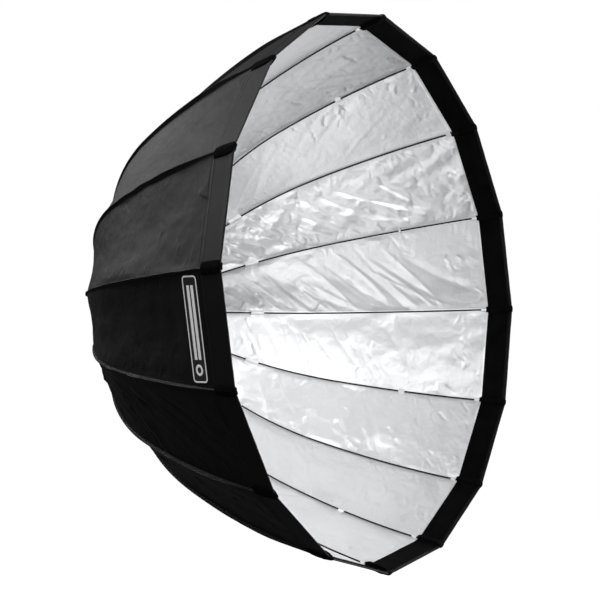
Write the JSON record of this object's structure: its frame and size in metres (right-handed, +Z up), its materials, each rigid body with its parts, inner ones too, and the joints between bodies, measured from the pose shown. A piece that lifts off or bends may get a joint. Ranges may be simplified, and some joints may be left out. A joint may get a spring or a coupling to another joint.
{
  "type": "umbrella reflector",
  "caption": "Folding deep parabolic reflector dish: fabric canopy, black outside and silver inside, held open by sprung rods hinged on a hub with a rotating bayonet mount for a flash head.",
  "frame": {"origin": "centre of the light port, in the plane of the insert's seat, which meets the flash head's face", "axes": "+Y along the light axis towards the flash head (the dish opens towards -Y), +Z up through the top rib, +X to the side"},
  "size_m": [1.2008, 0.7223, 1.2008],
  "materials": {
    "canopy": "matte woven polyester, black outside and silver coated inside",
    "rod": "spring steel, black coated",
    "black_metal": "satin black anodised",
    "bare_metal": "satin turned",
    "black_plastic": "fine moulded grain",
    "steel": "bright zinc plated"
  },
  "bodies": {
    "hub": {"hub_body": "black_metal", "front_cover": "black_plastic", "cover_screws": "steel", "hinge_pins": "steel", "retaining_ring": "black_plastic", "retaining_screws": "steel", "runner_stop_ring": "steel", "detent_plungers": "steel"},
    "insert": {"bayonet_insert": "bare_metal"},
    "runner": {"runner_ring": "black_plastic"},
    "lock_screw": {"lock_stud": "steel", "lock_knob": "black_plastic"},
    "rib_01": {"rod_01": "rod", "knuckle_01": "black_plastic", "canopy_panel_01": "canopy"},
    "rib_02": {"rod_02": "rod", "knuckle_02": "black_plastic", "canopy_panel_02": "canopy"},
    "rib_03": {"rod_03": "rod", "knuckle_03": "black_plastic", "canopy_panel_03": "canopy"},
    "rib_04": {"rod_04": "rod", "knuckle_04": "black_plastic", "canopy_panel_04": "canopy"},
    "rib_05": {"rod_05": "rod", "knuckle_05": "black_plastic", "canopy_panel_05": "canopy"},
    "rib_06": {"rod_06": "rod", "knuckle_06": "black_plastic", "canopy_panel_06": "canopy"},
    "rib_07": {"rod_07": "rod", "knuckle_07": "black_plastic", "canopy_panel_07": "canopy"},
    "rib_08": {"rod_08": "rod", "knuckle_08": "black_plastic", "canopy_panel_08": "canopy"},
    "rib_09": {"rod_09": "rod", "knuckle_09": "black_plastic", "canopy_panel_09": "canopy"},
    "rib_10": {"rod_10": "rod", "knuckle_10": "black_plastic", "canopy_panel_10": "canopy"},
    "rib_11": {"rod_11": "rod", "knuckle_11": "black_plastic", "canopy_panel_11": "canopy"},
    "rib_12": {"rod_12": "rod", "knuckle_12": "black_plastic", "canopy_panel_12": "canopy"},
    "rib_13": {"rod_13": "rod", "knuckle_13": "black_plastic", "canopy_panel_13": "canopy"},
    "rib_14": {"rod_14": "rod", "knuckle_14": "black_plastic", "canopy_panel_14": "canopy"},
    "rib_15": {"rod_15": "rod", "knuckle_15": "black_plastic", "canopy_panel_15": "canopy"},
    "rib_16": {"rod_16": "rod", "knuckle_16": "black_plastic", "canopy_panel_16": "canopy"}
  },
  "joints": [
    {"name": "rib_01_fold", "type": "hinge", "parent": "hub", "child": "rib_01", "pos_m": [0, -0.034, 0.078], "axis": [1, 0, 0], "range_deg": [0, 40], "deforming": ["canopy_panel_01"]},
    {"name": "rib_02_fold", "type": "hinge", "parent": "hub", "child": "rib_02", "pos_m": [0.02985, -0.034, 0.07206], "axis": [0.9239, 0, -0.3827], "range_deg": [0, 40], "deforming": ["canopy_panel_02"]},
    {"name": "rib_03_fold", "type": "hinge", "parent": "hub", "child": "rib_03", "pos_m": [0.05515, -0.034, 0.05515], "axis": [0.7071, 0, -0.7071], "range_deg": [0, 40], "deforming": ["canopy_panel_03"]},
    {"name": "rib_04_fold", "type": "hinge", "parent": "hub", "child": "rib_04", "pos_m": [0.07206, -0.034, 0.02985], "axis": [0.3827, 0, -0.9239], "range_deg": [0, 40], "deforming": ["canopy_panel_04"]},
    {"name": "rib_05_fold", "type": "hinge", "parent": "hub", "child": "rib_05", "pos_m": [0.078, -0.034, 0], "axis": [0, 0, -1], "range_deg": [0, 40], "deforming": ["canopy_panel_05"]},
    {"name": "rib_06_fold", "type": "hinge", "parent": "hub", "child": "rib_06", "pos_m": [0.07206, -0.034, -0.02985], "axis": [-0.3827, 0, -0.9239], "range_deg": [0, 40], "deforming": ["canopy_panel_06"]},
    {"name": "rib_07_fold", "type": "hinge", "parent": "hub", "child": "rib_07", "pos_m": [0.05515, -0.034, -0.05515], "axis": [-0.7071, 0, -0.7071], "range_deg": [0, 40], "deforming": ["canopy_panel_07"]},
    {"name": "rib_08_fold", "type": "hinge", "parent": "hub", "child": "rib_08", "pos_m": [0.02985, -0.034, -0.07206], "axis": [-0.9239, 0, -0.3827], "range_deg": [0, 40], "deforming": ["canopy_panel_08"]},
    {"name": "rib_09_fold", "type": "hinge", "parent": "hub", "child": "rib_09", "pos_m": [0, -0.034, -0.078], "axis": [-1, 0, 0], "range_deg": [0, 40], "deforming": ["canopy_panel_09"]},
    {"name": "rib_10_fold", "type": "hinge", "parent": "hub", "child": "rib_10", "pos_m": [-0.02985, -0.034, -0.07206], "axis": [-0.9239, 0, 0.3827], "range_deg": [0, 40], "deforming": ["canopy_panel_10"]},
    {"name": "rib_11_fold", "type": "hinge", "parent": "hub", "child": "rib_11", "pos_m": [-0.05515, -0.034, -0.05515], "axis": [-0.7071, 0, 0.7071], "range_deg": [0, 40], "deforming": ["canopy_panel_11"]},
    {"name": "rib_12_fold", "type": "hinge", "parent": "hub", "child": "rib_12", "pos_m": [-0.07206, -0.034, -0.02985], "axis": [-0.3827, 0, 0.9239], "range_deg": [0, 40], "deforming": ["canopy_panel_12"]},
    {"name": "rib_13_fold", "type": "hinge", "parent": "hub", "child": "rib_13", "pos_m": [-0.078, -0.034, 0], "axis": [0, 0, 1], "range_deg": [0, 40], "deforming": ["canopy_panel_13"]},
    {"name": "rib_14_fold", "type": "hinge", "parent": "hub", "child": "rib_14", "pos_m": [-0.07206, -0.034, 0.02985], "axis": [0.3827, 0, 0.9239], "range_deg": [0, 40], "deforming": ["canopy_panel_14"]},
    {"name": "rib_15_fold", "type": "hinge", "parent": "hub", "child": "rib_15", "pos_m": [-0.05515, -0.034, 0.05515], "axis": [0.7071, 0, 0.7071], "range_deg": [0, 40], "deforming": ["canopy_panel_15"]},
    {"name": "rib_16_fold", "type": "hinge", "parent": "hub", "child": "rib_16", "pos_m": [-0.02985, -0.034, 0.07206], "axis": [0.9239, 0, 0.3827], "range_deg": [0, 40], "deforming": ["canopy_panel_16"]},
    {"name": "runner_slide", "type": "slide", "parent": "hub", "child": "runner", "axis": [0, 1, 0], "range_m": [0, 0.00958]},
    {"name": "insert_turn", "type": "hinge", "parent": "hub", "child": "insert", "pos_m": [0, 0, 0], "axis": [0, 1, 0], "continuous": true},
    {"name": "lock_screw_turn", "type": "hinge", "parent": "hub", "child": "lock_screw", "pos_m": [-0.01756, -0.0081, -0.08827], "axis": [-0.1951, 0, -0.9808], "range_deg": [0, 360]}
  ],
  "couplings": [
    {"joint": "rib_02_fold", "follows": "rib_01_fold", "ratio": 1},
    {"joint": "rib_03_fold", "follows": "rib_01_fold", "ratio": 1},
    {"joint": "rib_04_fold", "follows": "rib_01_fold", "ratio": 1},
    {"joint": "rib_05_fold", "follows": "rib_01_fold", "ratio": 1},
    {"joint": "rib_06_fold", "follows": "rib_01_fold", "ratio": 1},
    {"joint": "rib_07_fold", "follows": "rib_01_fold", "ratio": 1},
    {"joint": "rib_08_fold", "follows": "rib_01_fold", "ratio": 1},
    {"joint": "rib_09_fold", "follows": "rib_01_fold", "ratio": 1},
    {"joint": "rib_10_fold", "follows": "rib_01_fold", "ratio": 1},
    {"joint": "rib_11_fold", "follows": "rib_01_fold", "ratio": 1},
    {"joint": "rib_12_fold", "follows": "rib_01_fold", "ratio": 1},
    {"joint": "rib_13_fold", "follows": "rib_01_fold", "ratio": 1},
    {"joint": "rib_14_fold", "follows": "rib_01_fold", "ratio": 1},
    {"joint": "rib_15_fold", "follows": "rib_01_fold", "ratio": 1},
    {"joint": "rib_16_fold", "follows": "rib_01_fold", "ratio": 1},
    {"joint": "runner_slide", "follows": "rib_01_fold", "m_per_rad": 0.013717}
  ]
}
